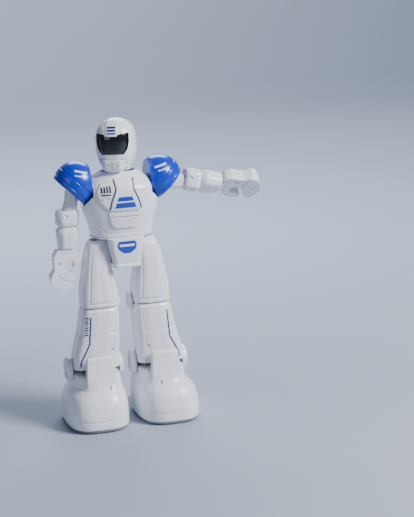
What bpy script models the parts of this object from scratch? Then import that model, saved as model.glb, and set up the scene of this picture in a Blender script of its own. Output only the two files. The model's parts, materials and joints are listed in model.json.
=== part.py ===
"""Walking toy robot, about 267 mm tall, as separate casings, joints and drive parts.

The robot stands on its soles at Z = 0 and faces -Y, with its right side towards -X.
Lengths below are millimetres and are scaled to metres as each mesh is made.
"""
import math

import bmesh
import bpy
from mathutils import Matrix, Vector

MM = 0.001
GAP = 0.35  # clearance left between pieces that touch
WALL = 2.0  # thickness of the moulded casings
PIN_RADIUS = 1.5  # steel pins of the shoulders and hips
PIN_HOLE = PIN_RADIUS + GAP

# Placing: the box round the posed robot is centred on the origin
BODY_SHIFT_X = -31.5

# Torso
SPLIT_Y = 0.0
SHOULDER_Y = 1.0
SHOULDER_Z = 213.0
SHOULDER_FACE = 25.5  # flat on the torso that each shoulder turns against
NICHE_RADIUS = 20.4
PAULDRON_X = 37.0
PAULDRON_RADIUS = 19.5
PAULDRON_CUT = 9.2  # distance from the dome's centre to its open rim

# Head
HEAD_TURN = math.radians(-25)
NECK_RADIUS = 6.0
NECK_Z = 224.0

# Arms: X and Z of the pin that lifts an arm, and the pose of the raised left one
ARM_PIN = (41.0, 208.0)
ARM_PIN_REACH = 17.0  # half the length of that pin
FOREARM_X = 46.4
FOREARM_JOINT_Z = 176.6
LEFT_LIFT = math.radians(-77)
LEFT_TWIST = math.radians(-40)

# Legs
HIP_X = 21.0
HIP_Z = 154.0
HIP_REACH = 31.0  # half the length of the axle through both hips
KNEE_Z = 104.8
ANKLE_X = 29.0
ANKLE_Y = 8.0
ANKLE_Z = 48.0
ANKLE_DISC = 11.0
ANKLE_PIN = 2.0
ANKLE_HOLE = ANKLE_PIN + GAP
FOOT_X = 31.8  # middle of the foot at its sole
SOLE_TOP = 2.65

# Drive in each foot
WHEEL_RADIUS = 9.5
WHEEL_X = (38.0, 46.0)
WHEEL_Y = 16.0
WHEEL_Z = 9.6
TOOTH_MODULE = 0.9
GEAR_TEETH = 16
PINION_TEETH = 8
GEAR_X = (33.6, 36.6)


# ---------------------------------------------------------------- helpers

def clear_scene():
    for item in list(bpy.data.objects):
        bpy.data.objects.remove(item, do_unlink=True)


def plastic(name, colour, roughness=0.4, metallic=0.0):
    material = bpy.data.materials.new(name)
    material.use_nodes = True
    shader = material.node_tree.nodes["Principled BSDF"]
    shader.inputs["Base Color"].default_value = (*colour, 1.0)
    shader.inputs["Roughness"].default_value = roughness
    shader.inputs["Metallic"].default_value = metallic
    return material


def pivot(name, place, parent=None, turn=(0, 0, 0)):
    """An empty on a joint; place is in the robot's own unposed coordinates."""
    joint = bpy.data.objects.new(name, None)
    bpy.context.scene.collection.objects.link(joint)
    joint["place"] = place
    joint.parent = parent
    start = Vector(parent["place"]) if parent else Vector()
    joint.location = (Vector(place) - start) * MM
    joint.rotation_euler = turn
    return joint


def solid(name, mesh_data, material, parent, smooth=True):
    """An object from a bmesh laid out in unposed robot coordinates, carried by a pivot."""
    bmesh.ops.remove_doubles(mesh_data, verts=mesh_data.verts, dist=0.001)
    bmesh.ops.recalc_face_normals(mesh_data, faces=mesh_data.faces)
    shift = Matrix.Translation(-Vector(parent["place"]))
    bmesh.ops.transform(mesh_data, matrix=Matrix.Scale(MM, 4) @ shift, verts=mesh_data.verts)
    mesh = bpy.data.meshes.new(name)
    mesh_data.to_mesh(mesh)
    mesh_data.free()
    if smooth:
        mesh.shade_smooth()
        mesh.set_sharp_from_angle(angle=math.radians(40))
    if material is not None:
        mesh.materials.append(material)
    item = bpy.data.objects.new(name, mesh)
    bpy.context.scene.collection.objects.link(item)
    item.parent = parent
    return item


def ring_loft(rings):
    """Closed solid through rings of equal point count, with flat ends."""
    made = bmesh.new()
    layers = [[made.verts.new(point) for point in ring] for ring in rings]
    count = len(rings[0])
    for low, high in zip(layers, layers[1:]):
        for i in range(count):
            j = (i + 1) % count
            made.faces.new((low[i], low[j], high[j], high[i]))
    made.faces.new(list(reversed(layers[0])))
    made.faces.new(layers[-1])
    return made


def tube_loft(outer, inner):
    """Closed ring-shaped solid between outer rings and inner rings."""
    made = bmesh.new()
    walls = [[[made.verts.new(p) for p in ring] for ring in side] for side in (outer, inner)]
    count = len(outer[0])
    for i in range(count):
        j = (i + 1) % count
        for layers in walls:
            for low, high in zip(layers, layers[1:]):
                made.faces.new((low[i], low[j], high[j], high[i]))
        for end in (0, -1):
            a, b = walls[0][end], walls[1][end]
            made.faces.new((a[i], a[j], b[j], b[i]))
    return made


def circle(radius, count, along, at, axis):
    """Ring round an axis: along is the place on the axis, at the other two coordinates."""
    points = []
    for i in range(count):
        angle = 2 * math.pi * i / count
        a = at[0] + radius * math.cos(angle)
        b = at[1] + radius * math.sin(angle)
        points.append({"X": (along, a, b), "Y": (a, along, b), "Z": (a, b, along)}[axis])
    return points


def turned(steps, at, axis, count=20):
    """Solid of revolution from (place along the axis, radius) steps."""
    return ring_loft([circle(radius, count, along, at, axis) for along, radius in steps])


def bored(steps, bore, at, axis, count=20):
    """Turned solid with a straight hole along its axis."""
    outer = [circle(radius, count, along, at, axis) for along, radius in steps]
    inner = [circle(bore, count, along, at, axis) for along, _ in steps]
    return tube_loft(outer, inner)


def rectangle(across, along, z):
    """Four-cornered ring at one height, from its ranges in X and Y."""
    (left, right), (front, back) = across, along
    return [(left, front, z), (right, front, z), (right, back, z), (left, back, z)]


def nosed(reach, rear, fore, cut, z):
    """Ring at one height whose two front corners are cut off."""
    return [(-reach, rear, z), (reach, rear, z), (reach, fore + cut, z),
            (reach - cut, fore, z), (cut - reach, fore, z), (-reach, fore + cut, z)]


def block(low, high):
    """Box between two corners."""
    return ring_loft([rectangle((low[0], high[0]), (low[1], high[1]), z) for z in (low[2], high[2])])


def prism(outline, low, high, axis):
    """Outline swept along X, from (Y, Z) points, or along Y, from (X, Z) points."""
    if axis == "X":
        return ring_loft([[(c, a, b) for a, b in outline] for c in (low, high)])
    return ring_loft([[(a, c, b) for a, b in outline] for c in (low, high)])


def boolean(item, cutter_mesh, operation="DIFFERENCE"):
    """Cut or join a solid; the tool object stays hidden."""
    tool = solid(f"{item.name}_tool_{len(item.modifiers)}", cutter_mesh, None, item.parent)
    tool.hide_render = True
    tool.display_type = "WIRE"
    change = item.modifiers.new(operation.lower(), "BOOLEAN")
    change.operation = operation
    change.object = tool
    change.solver = "EXACT"


def mirrored(mesh_data, side):
    """The same solid on the other side when side is -1."""
    if side < 0:
        bmesh.ops.transform(mesh_data, matrix=Matrix.Diagonal((-1, 1, 1, 1)), verts=mesh_data.verts)
    return mesh_data


def arch(power=2.5, steps=14):
    """Half superellipse from +1 round the front to -1, as (across, depth) pairs."""
    points = []
    for i in range(steps + 1):
        angle = math.pi * i / steps
        across = math.copysign(abs(math.cos(angle)) ** (2 / power), math.cos(angle))
        points.append((across, math.sin(angle) ** (2 / power) if 0 < i < steps else 0.0))
    return points


FACETED = [(1, 0), (1, 0.55), (0.84, 0.86), (0.34, 1), (-0.34, 1), (-0.84, 0.86), (-1, 0.55), (-1, 0)]


def half_shell(levels, path, sign, split, open_low=False, open_high=False):
    """Half of a hollow casing, cut on a plane of constant Y.

    levels are (z, centre x, half width, depth, inner half width, inner depth), bottom first.
    path is the section's outline as fractions of half width and depth; sign is -1 for the
    front half and 1 for the back half. A closed end is solid between its last two levels.
    """
    made = bmesh.new()

    def layer(z, centre, across, depth):
        return [made.verts.new((centre + u * across, split + sign * v * depth, z)) for u, v in path]

    outer = [layer(z, cx, hw, d) for z, cx, hw, d, _, _ in levels]
    first = 0 if open_low else 1
    last = len(levels) - 1 if open_high else len(levels) - 2
    inner = {}
    for k in range(first, last + 1):
        z, cx, _, _, hw, d = levels[k]
        inner[k] = layer(z, cx, hw, d)
    count = len(path)
    for k in range(len(levels) - 1):
        for i in range(count - 1):
            made.faces.new((outer[k][i], outer[k][i + 1], outer[k + 1][i + 1], outer[k + 1][i]))
    for k in range(first, last):
        for i in range(count - 1):
            made.faces.new((inner[k][i], inner[k + 1][i], inner[k + 1][i + 1], inner[k][i + 1]))
        for i in (0, count - 1):
            made.faces.new((outer[k][i], outer[k + 1][i], inner[k + 1][i], inner[k][i]))
    for end, near, is_open in ((0, first, open_low), (len(levels) - 1, last, open_high)):
        if is_open:
            for i in range(count - 1):
                made.faces.new((outer[end][i], outer[end][i + 1], inner[end][i + 1], inner[end][i]))
            continue
        made.faces.new(outer[end])
        made.faces.new(inner[near])
        a, b, c = outer[end], outer[near], inner[near]
        made.faces.new((a[0], a[-1], b[-1], c[-1], c[0], b[0]))
    return made


def blended(levels, z):
    """Centre, half width and depth of a casing at height z."""
    for low, high in zip(levels, levels[1:]):
        if low[0] <= z <= high[0]:
            t = (z - low[0]) / (high[0] - low[0])
            return tuple(a + (b - a) * t for a, b in zip(low[1:4], high[1:4]))
    return levels[-1][1:4]


def skin_plate(levels, sign, split, rows, inner, outer, power=2.5, steps=10):
    """Curved plate that follows a casing; rows are (z, half width of the plate)."""
    rings = []
    for z, reach in rows:
        centre, across, depth = blended(levels, z)
        edge = {}
        for offset in (outer, inner):
            points = []
            for i in range(steps + 1):
                x = reach * (1 - 2 * i / steps)
                v = (1 - min(abs(x) / (across + offset), 0.999) ** power) ** (1 / power)
                points.append((centre + x, split + sign * v * (depth + offset), z))
            edge[offset] = points
        rings.append(edge[outer] + list(reversed(edge[inner])))
    return ring_loft(rings)


def cased(*levels, wall=WALL):
    """Casing levels with their inner sizes one wall in; levels are (z, centre, half width, depth)."""
    return [(z, cx, hw, d, hw - wall, d - wall) for z, cx, hw, d in levels]


def split_casing(names, levels, path, material, parent, open_low=False, open_high=False, side=1, rear=None):
    """Front and back halves of one casing, a gap apart; rear gives the back half its own levels."""
    halves = []
    for name, sign, own in zip(names, (-1, 1), (levels, rear or levels)):
        split = SPLIT_Y + sign * GAP / 2
        made = half_shell(own, path, sign, split, open_low, open_high)
        halves.append(solid(name, mirrored(made, side), material, parent))
    return halves


def chamfered(cx, hw, cy, hd, z, cut=0.6):
    """Eight-cornered ring at one height."""
    corners = [(1, -cut), (1, cut), (cut, 1), (-cut, 1), (-1, cut), (-1, -cut), (-cut, -1), (cut, -1)]
    return [(cx + u * hw, cy + v * hd, z) for u, v in corners]


def oval(cx, hw, front, back, z, power=3.0, count=24):
    """Superellipse ring between a front and a back Y."""
    points = []
    for i in range(count):
        c, s = math.cos(2 * math.pi * i / count), math.sin(2 * math.pi * i / count)
        u = math.copysign(abs(c) ** (2 / power), c)
        v = math.copysign(abs(s) ** (2 / power), s)
        points.append((cx + u * hw, (front + back) / 2 + v * (back - front) / 2, z))
    return points


# ---------------------------------------------------------------- torso

TORSO = [
    (167.0, 0, 26.6, 18.5, 24.6, 16.5),
    (178.0, 0, 28.6, 20.5, 26.6, 18.5),
    (188.0, 0, 32.0, 22.6, 26.0, 20.6),
    (197.0, 0, 33.5, 23.6, 22.5, 21.6),
    (207.0, 0, 32.0, 23.0, 22.5, 21.0),
    (214.0, 0, 27.5, 19.5, 20.5, 17.5),
    (219.0, 0, 21.0, 15.0, 17.5, 13.0),
    (222.0, 0, 15.5, 11.5, 13.2, 9.5),
]
DOOR_ROWS = ((174.0, 15.5), (178.0, 15.5), (188.0, 15.5), (197.0, 15.5), (206.0, 15.5))


def widened(rows, by=GAP):
    """Rows of a plate grown by a gap, for the opening that it sits in."""
    grown = [(z, reach + by) for z, reach in rows]
    grown[0] = (grown[0][0] - by, grown[0][1])
    grown[-1] = (grown[-1][0] + by, grown[-1][1])
    return grown


def make_torso(body, white):
    chest, back = split_casing(("chest_shell", "back_shell"), TORSO, arch(), white, body, True, True)
    for shell in (chest, back):
        for side in (1, -1):
            steps = ((SHOULDER_FACE, NICHE_RADIUS), (60, NICHE_RADIUS))
            niche = turned(steps, (SHOULDER_Y, SHOULDER_Z), "X", 28)
            boolean(shell, mirrored(niche, side))
    boolean(back, skin_plate(TORSO, 1, SPLIT_Y, widened(DOOR_ROWS), -5, 5))
    boolean(back, block((-4.6, 12, 209.2), (4.6, 30, 212.8)))
    chest_rows = ((191.0, 15.0), (197.0, 20.5), (207.0, 24.0), (214.0, 20.0), (218.0, 13.0))
    belly_rows = ((174.6, 9.5), (178.0, 12.5), (188.0, 14.5), (189.0, 14.5))
    for name, rows in (("chest_plate", chest_rows), ("belly_plate", belly_rows)):
        plate = skin_plate(TORSO, -1, SPLIT_Y - GAP / 2, rows, GAP, GAP + 1.4, steps=12)
        solid(name, plate, white, body)
    collar = bored(((222.35, 11.4), (223.4, 12.0), (224.8, 10.6)), NECK_RADIUS + GAP, (0, 0), "Z", 24)
    solid("neck_collar", collar, white, body)


def make_pelvis(body, white):
    band = ring_loft([
        oval(0, 24.0, -17.0, 17.0, 164.4, 2.5),
        oval(0, 27.6, -19.0, 19.0, 166.6, 2.5),
    ])
    pelvis = solid("pelvis_shell", band, white, body)
    boolean(pelvis, block((-10.6, -16, 141.0), (10.6, 15, 165.5)), "UNION")
    front = []
    for z, reach, rear, fore in ((140, 12.2, -15.6, -21.2), (143, 12.4, -15.6, -20.0),
                                 (152, 13.8, -15.6, -21.4), (165.5, 16.0, -14.6, -22.2)):
        front.append(nosed(reach, rear, fore, 3, z))
    boolean(pelvis, ring_loft(front), "UNION")
    boolean(pelvis, turned(((-14, PIN_HOLE), (14, PIN_HOLE)), (0, HIP_Z), "X"))


# ---------------------------------------------------------------- what the torso holds

CELL_RADIUS = 5.2
CELL_PITCH = 11.0
CELL_Y = 8.5
CELL_Z = (168.4, 212.6)
CELL_BUTTON = 2.2  # radius of the raised end
SCREW_RADIUS = 1.5


def make_electrics(body, green, grey, steel, wrap):
    solid("circuit_board", block((-19, -6.2, 174), (19, -4.6, 207)), green, body)
    speaker = turned(((-15.5, 9), (-13.5, 9), (-12.5, 7), (-7, 7)), (0, 190), "Y", 24)
    solid("speaker", speaker, grey, body)
    low, high = CELL_Z
    for number, column in enumerate((-1, 0, 1), start=1):
        shoulder = high - 1.2
        steps = ((low, CELL_RADIUS), (shoulder, CELL_RADIUS), (shoulder, CELL_BUTTON), (high, CELL_BUTTON))
        cell = turned(steps, (column * CELL_PITCH, CELL_Y), "Z", 16)
        solid(f"battery_{number}", cell, wrap, body)
    reach = CELL_PITCH + 4
    for name, z in (("lower_contact", low - 1.0), ("upper_contact", high + 0.4)):
        strip = block((-reach, CELL_Y - 3, z), (reach, CELL_Y + 3, z + 0.6))
        solid(name, strip, steel, body)


def make_battery_door(body, white, steel):
    door_joint = pivot("door_pivot", (0, 19, 190), body)
    door = skin_plate(TORSO, 1, SPLIT_Y, DOOR_ROWS, -2.2, 0.2)
    door = solid("battery_door", door, white, door_joint)
    screw_z = 202
    _, _, depth = blended(TORSO, screw_z)
    hole = SCREW_RADIUS + GAP
    boolean(door, turned(((depth - 6, hole), (depth + 6, hole)), (0, screw_z), "Y"))
    screw = turned(((depth - 5, SCREW_RADIUS), (depth + 0.3, SCREW_RADIUS)), (0, screw_z), "Y", 12)
    solid("door_screw", screw, steel, door_joint)


def make_power_switch(body, grey):
    switch_joint = pivot("switch_pivot", (-2, 20, 211), body)
    nub = block((-4.0, 14.6, 209.6), (0.0, 23.4, 212.4))
    solid("power_switch", nub, grey, switch_joint)


# ---------------------------------------------------------------- head

HEAD = cased(
    (225.2, 0, 12.5, 13.5),
    (231.0, 0, 15.2, 16.8),
    (240.0, 0, 17.0, 19.0),
    (250.0, 0, 17.0, 19.3),
    (258.0, 0, 15.2, 17.3),
    (263.5, 0, 11.0, 12.6),
    (266.8, 0, 5.0, 6.0),
)
VISOR_ROWS = ((237.6, 9.5), (240.0, 11.8), (250.0, 14.2), (255.6, 12.6))


def make_head(body, white, black, grey):
    neck = pivot("neck_pivot", (0, 0, NECK_Z), body, (0, 0, HEAD_TURN))
    front, _ = split_casing(("face_shell", "rear_head_shell"), HEAD, arch(), white, neck, True)
    boolean(front, skin_plate(HEAD, -1, SPLIT_Y, widened(VISOR_ROWS), -4, 4, steps=12))
    boolean(front, block((-11.2, -30, 215), (11.2, -12.1, 233.4)))
    visor = skin_plate(HEAD, -1, SPLIT_Y, VISOR_ROWS, -1.9, -0.4, steps=12)
    solid("visor", visor, black, neck)
    jaw = []
    for z, reach, fore in ((222.6, 7.6, -18.2), (225, 9.8, -19.8), (233, 10.8, -20.4)):
        jaw.append(nosed(reach, -12.5, fore, 4, z))
    solid("jaw", ring_loft(jaw), white, neck)
    steps = ((215, 8.6), (217.4, 8.6), (217.4, NECK_RADIUS), (227.5, NECK_RADIUS), (227.5, 9.6), (230, 9.6))
    solid("neck_post", turned(steps, (0, 0), "Z"), grey, neck)


# ---------------------------------------------------------------- arms

# Rings of the arm as it hangs: (z, centre x, half width, half depth), from the shoulder down
UPPER_ARM = [
    (213.4, 41.0, 3.4, 5.0), (211.0, 41.0, 5.0, 5.4), (198.0, 42.2, 5.6, 5.6), (191.6, 44.0, 6.4, 6.4),
    (191.0, 46.0, 9.0, 8.2), (188.5, 46.2, 10.0, 9.0), (180.0, 46.4, 10.0, 9.0), (177.0, 46.4, 8.6, 7.8),
]
FOREARM = [
    (176.4, 46.4, 7.4, 7.0), (175.2, 46.4, 8.6, 8.0), (172.5, 46.6, 10.2, 8.8), (165.0, 46.8, 9.2, 8.2),
    (157.4, 48.0, 7.4, 7.2),
]
# Hand outline in X and Z for a left arm that hangs: palm outside, thumb inside, open grip
HAND = [
    (57.0, 157.0), (60.5, 151.0), (60.5, 140.0), (64.5, 133.0), (63.5, 129.0), (59.0, 124.5),
    (51.0, 122.4), (43.0, 127.0), (40.5, 132.4), (46.0, 136.8), (50.2, 138.8), (51.6, 143.0),
    (50.2, 147.2), (46.6, 149.0), (43.2, 147.2), (42.2, 143.5), (44.0, 140.2), (41.2, 137.6),
    (38.0, 141.0), (37.8, 149.0), (41.5, 155.4), (43.5, 157.0),
]
HAND_Y = (-6.0, 8.0)


def make_arm(body, side, white, blue, steel, turn, twist):
    label = "left" if side > 0 else "right"
    pin_x, pin_z = ARM_PIN
    across = Matrix.Diagonal((side, 1, 1))
    shoulder_place = across @ Vector((SHOULDER_FACE, SHOULDER_Y, SHOULDER_Z))
    shoulder = pivot(label + "_shoulder_pivot", shoulder_place, body)
    lift = pivot(label + "_lift_pivot", across @ Vector((pin_x, SHOULDER_Y, pin_z)), shoulder, (0, turn, 0))

    # Dome over the shoulder, open on a plane that faces out and down
    flat = SHOULDER_FACE + 0.5
    edge = PAULDRON_X + PAULDRON_RADIUS
    dome_steps, hollow_steps = [], []
    for i in range(9):
        x = flat + (edge - 0.6 - flat) * i / 8
        dome_steps.append((x, math.sqrt(PAULDRON_RADIUS ** 2 - (x - PAULDRON_X) ** 2)))
    inner_radius = PAULDRON_RADIUS - 2.3
    for i in range(9):
        x = flat + 2.4 + (PAULDRON_X + inner_radius - 0.4 - flat - 2.4) * i / 8
        hollow_steps.append((x, math.sqrt(inner_radius ** 2 - (x - PAULDRON_X) ** 2)))
    centre = (SHOULDER_Y, SHOULDER_Z)
    dome = mirrored(turned(dome_steps, centre, "X", 28), side)
    pauldron = solid(label + "_pauldron", dome, blue, shoulder)
    boolean(pauldron, mirrored(turned(hollow_steps, centre, "X", 28), side))
    opening = block((PAULDRON_CUT, -30, -40), (50, 30, 40))
    dome_centre = Matrix.Translation((PAULDRON_X, SHOULDER_Y, SHOULDER_Z))
    tilt = Matrix.Rotation(math.radians(45), 4, "Y")
    bmesh.ops.transform(opening, matrix=dome_centre @ tilt, verts=opening.verts)
    boolean(pauldron, mirrored(opening, side))

    def along_pin(radius, reach):
        steps = ((SHOULDER_Y - reach, radius), (SHOULDER_Y + reach, radius))
        return mirrored(turned(steps, (pin_x, pin_z), "Y", 16), side)

    boolean(pauldron, along_pin(PIN_HOLE, ARM_PIN_REACH + 0.4))
    solid(label + "_shoulder_pin", along_pin(PIN_RADIUS, ARM_PIN_REACH), steel, shoulder)

    upper = []
    for z, cx, hw, hd in UPPER_ARM:
        upper.append(chamfered(cx, hw, SHOULDER_Y, hd, z))
    arm = solid(label + "_upper_arm", mirrored(ring_loft(upper), side), white, lift)
    boolean(arm, along_pin(PIN_HOLE, ARM_PIN_REACH + 0.4))

    elbow_place = across @ Vector((FOREARM_X, SHOULDER_Y, FOREARM_JOINT_Z))
    elbow = pivot(label + "_forearm_pivot", elbow_place, lift, (0, 0, twist))
    fore = []
    for z, cx, hw, hd in FOREARM:
        fore.append(chamfered(cx, hw, SHOULDER_Y, hd, z))
    solid(label + "_forearm", mirrored(ring_loft(fore), side), white, elbow)
    solid(label + "_hand", mirrored(prism(HAND, *HAND_Y, "Y"), side), white, elbow)


# ---------------------------------------------------------------- legs

THIGH = cased(
    (105.2, 23.2, 15.4, 15.4),
    (107.4, 23.2, 15.8, 16.0),
    (113.0, 23.2, 15.9, 16.2),
    (140.0, 23.1, 12.0, 14.6),
    (156.0, 21.4, 10.2, 11.8),
    (158.0, 21.1, 9.8, 11.2),
    (163.2, 20.8, 7.6, 7.4),
)
SHIN = cased(
    (50.5, 28.8, 20.2, 13.0),
    (60.0, 28.4, 20.0, 13.4),
    (81.0, 25.4, 17.8, 15.0),
    (101.0, 23.4, 16.0, 16.0),
    (104.4, 23.3, 14.4, 14.4),
)
CALF = cased(
    (50.5, 28.8, 20.2, 18.6),
    (60.0, 28.4, 20.0, 18.6),
    (81.0, 25.4, 17.8, 18.0),
    (101.0, 23.4, 16.0, 16.6),
    (104.4, 23.3, 14.4, 14.6),
)
LUG_RADIUS = 6.4


def lug(straight_to, rounded_up):
    """Outline in Y and Z of a lug: half round the ankle pin, then straight to a height."""
    points = [(ANKLE_Y - LUG_RADIUS, straight_to), (ANKLE_Y + LUG_RADIUS, straight_to)]
    sense = 1 if rounded_up else -1
    for i in range(9):
        angle = sense * math.pi * i / 8
        points.append((ANKLE_Y + LUG_RADIUS * math.cos(angle), ANKLE_Z + LUG_RADIUS * math.sin(angle)))
    return points


def make_leg(body, side, white, steel, grey, rubber):
    label = "left" if side > 0 else "right"
    leg = pivot(label + "_hip_pivot", (side * HIP_X, 0, HIP_Z), body)
    thigh = (label + "_thigh_front", label + "_thigh_back")
    thigh = split_casing(thigh, THIGH, FACETED, white, leg, side=side)
    shin = (label + "_shin_front", label + "_shin_back")
    split_casing(shin, SHIN, FACETED, white, leg, open_low=True, side=side, rear=CALF)
    for half in thigh:
        hole = turned(((5, PIN_HOLE), (HIP_REACH + 0.4, PIN_HOLE)), (0, HIP_Z), "X")
        boolean(half, mirrored(hole, side))
    disc = turned(((4.0, 6.4), (5.0, 7.4), (6.8, 7.4)), (5.0, KNEE_Z), "X")
    solid(label + "_knee_disc", mirrored(disc, side), white, leg)

    ankle_block = mirrored(prism(lug(62, False), 18.0, 39.5, "X"), side)
    ankle_block = solid(label + "_ankle_block", ankle_block, grey, leg)
    bore = turned(((5, ANKLE_HOLE), (49, ANKLE_HOLE)), (ANKLE_Y, ANKLE_Z), "X")
    boolean(ankle_block, mirrored(bore, side))
    make_foot(label, leg, side, white, steel, grey, rubber)


def make_foot(label, leg, side, white, steel, grey, rubber):
    foot = pivot(label + "_ankle_pivot", (side * ANKLE_X, ANKLE_Y, ANKLE_Z), leg)
    rings = [
        oval(FOOT_X, 26.6, -39.4, 39.4, 3.0),
        oval(FOOT_X, 27.2, -40.0, 40.0, 5.0),
        oval(FOOT_X, 27.2, -40.0, 40.0, 12.0),
        oval(31.5, 26.8, -38.4, 39.2, 20.0),
        oval(31.0, 25.4, -35.0, 37.8, 28.0),
        oval(28.8, 20.4, -28.0, 34.5, 36.0),
        oval(28.8, 20.2, -24.5, 32.4, 40.0),
        oval(28.8, 19.6, -17.5, 30.0, 46.0),
    ]
    shell = solid(label + "_foot_shell", mirrored(ring_loft(rings), side), white, foot)
    for low, high in ((13.8, 16.6), (40.6, 43.4)):
        boolean(shell, mirrored(prism(lug(42, True), low, high, "X"), side), "UNION")
    guard = []
    for z, reach, fore in ((36, 13, -26), (52, 12.5, -23.6), (61.4, 11.6, -22.0), (63.2, 10.4, -20.6)):
        guard.append(rectangle((ANKLE_X - reach, ANKLE_X + reach), (fore, -17.2), z))
    boolean(shell, mirrored(ring_loft(guard), side), "UNION")
    well = block((16.8, ANKLE_Y - 8.5, 40.4), (40.4, ANKLE_Y + 8.5, 70))
    boolean(shell, mirrored(well, side))
    boolean(shell, mirrored(block((12, -16, 0), (48.4, 28, 27)), side))
    bore = turned(((5, ANKLE_HOLE), (52, ANKLE_HOLE)), (ANKLE_Y, ANKLE_Z), "X")
    boolean(shell, mirrored(bore, side))

    # Sole: the inner strip is the flat that the robot rests on
    plate = ring_loft([oval(FOOT_X, 25.6, -38.4, 38.4, 0.9), oval(FOOT_X, 26.2, -39.0, 39.0, SOLE_TOP)])
    sole = solid(label + "_sole", mirrored(plate, side), grey, foot)
    boolean(sole, mirrored(block((10, -28, 0), (31, 28, 1.5)), side), "UNION")
    half_slot = math.sqrt(WHEEL_RADIUS ** 2 - (SOLE_TOP - WHEEL_Z) ** 2) + 1.0
    slot = block((32.6, WHEEL_Y - half_slot, -1), (WHEEL_X[1] + 0.8, WHEEL_Y + half_slot, 4))
    boolean(sole, mirrored(slot, side))

    pin_steps = ((8.6, ANKLE_PIN), (49.6, ANKLE_PIN), (49.6, ANKLE_DISC), (53.0, ANKLE_DISC),
                 (54.4, ANKLE_DISC - 1.4))
    pin = turned(pin_steps, (ANKLE_Y, ANKLE_Z), "X", 28)
    solid(label + "_ankle_pin", mirrored(pin, side), white, foot)
    cap = turned(((4.0, ANKLE_DISC - 1.4), (5.2, ANKLE_DISC), (7.8, ANKLE_DISC)), (ANKLE_Y, ANKLE_Z), "X", 28)
    solid(label + "_ankle_cap", mirrored(cap, side), white, foot)
    make_drive(label, foot, side, steel, rubber)


def gear_outline(teeth, phase):
    """Straight-sided teeth with running clearance, as (Y, Z) round the origin."""
    pitch = TOOTH_MODULE * teeth / 2
    root, tip = pitch - 1.2 * TOOTH_MODULE, pitch + 0.8 * TOOTH_MODULE
    points = []
    for tooth in range(teeth):
        middle = phase + 2 * math.pi * tooth / teeth
        for radius, share in ((root, -0.27), (tip, -0.11), (tip, 0.11), (root, 0.27)):
            angle = middle + share * 2 * math.pi / teeth
            points.append((radius * math.cos(angle), radius * math.sin(angle)))
    return points


def make_drive(label, foot, side, steel, rubber):
    """Wheel on its geared axle, and the motor with the pinion that turns it."""
    axle = (WHEEL_Y, WHEEL_Z)
    spacing = TOOTH_MODULE * (GEAR_TEETH + PINION_TEETH) / 2
    motor = (WHEEL_Y - spacing, WHEEL_Z)
    near, far = WHEEL_X
    wheel_joint = pivot(label + "_wheel_pivot", (side * (near + far) / 2, *axle), foot)
    tread = ((near, WHEEL_RADIUS - 0.6), (near + 0.8, WHEEL_RADIUS),
             (far - 0.8, WHEEL_RADIUS), (far, WHEEL_RADIUS - 0.6))
    wheel = bored(tread, PIN_HOLE, axle, "X", 28)
    solid(label + "_drive_wheel", mirrored(wheel, side), rubber, wheel_joint)

    def placed(teeth, phase, at):
        outline = [(a + at[0], b + at[1]) for a, b in gear_outline(teeth, phase)]
        return mirrored(prism(outline, *GEAR_X, "X"), side)

    gear = solid(label + "_drive_gear", placed(GEAR_TEETH, 0, axle), steel, wheel_joint, False)
    boolean(gear, mirrored(turned(((31.6, PIN_RADIUS), (47.8, PIN_RADIUS)), axle, "X", 16), side), "UNION")
    pinion_joint = pivot(label + "_pinion_pivot", (side * sum(GEAR_X) / 2, *motor), foot)
    pinion_mesh = placed(PINION_TEETH, math.pi / PINION_TEETH, motor)
    pinion = solid(label + "_motor_pinion", pinion_mesh, steel, pinion_joint, False)
    boolean(pinion, mirrored(turned(((31.4, 1.0), (37.2, 1.0)), motor, "X", 12), side), "UNION")
    can = turned(((13, 5.4), (14, 6.0), (30.0, 6.0), (31.0, 5.0)), motor, "X", 20)
    solid(label + "_foot_motor", mirrored(can, side), steel, foot)


# ---------------------------------------------------------------- the whole robot

def make_robot():
    clear_scene()
    white = plastic("white_plastic", (0.80, 0.79, 0.84), 0.35)
    blue = plastic("blue_plastic", (0.01, 0.08, 0.62), 0.2)
    black = plastic("black_gloss", (0.01, 0.01, 0.013), 0.08)
    grey = plastic("grey_plastic", (0.22, 0.22, 0.24), 0.5)
    steel = plastic("bright_steel", (0.62, 0.62, 0.62), 0.3, 1.0)
    green = plastic("board_green", (0.02, 0.22, 0.08), 0.5)
    wrap = plastic("cell_wrap", (0.55, 0.06, 0.04), 0.4)
    rubber = plastic("wheel_rubber", (0.03, 0.03, 0.03), 0.8)

    placing = pivot("placing", (0, 0, 0))
    placing.location = Vector((BODY_SHIFT_X, 0, 0)) * MM
    make_torso(placing, white)
    make_pelvis(placing, white)
    axle = turned(((-HIP_REACH, PIN_RADIUS), (HIP_REACH, PIN_RADIUS)), (0, HIP_Z), "X", 16)
    solid("hip_axle", axle, steel, placing)
    make_electrics(placing, green, grey, steel, wrap)
    make_battery_door(placing, white, steel)
    make_power_switch(placing, grey)
    make_head(placing, white, black, grey)
    make_arm(placing, 1, white, blue, steel, LEFT_LIFT, LEFT_TWIST)
    make_arm(placing, -1, white, blue, steel, 0.0, 0.0)
    for side in (1, -1):
        make_leg(placing, side, white, steel, grey, rubber)


make_robot()
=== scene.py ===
"""Looks of the walking toy robot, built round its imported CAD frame.

Shapes are laid out in millimetres in the robot's own unposed coordinates: X from its midplane,
facing -Y, soles at Z = 0. A piece is then posed and scaled into the frame, which is in metres.
"""
import json
import math

import bmesh
import bpy
import numpy as np
from mathutils import Matrix, Vector


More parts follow.
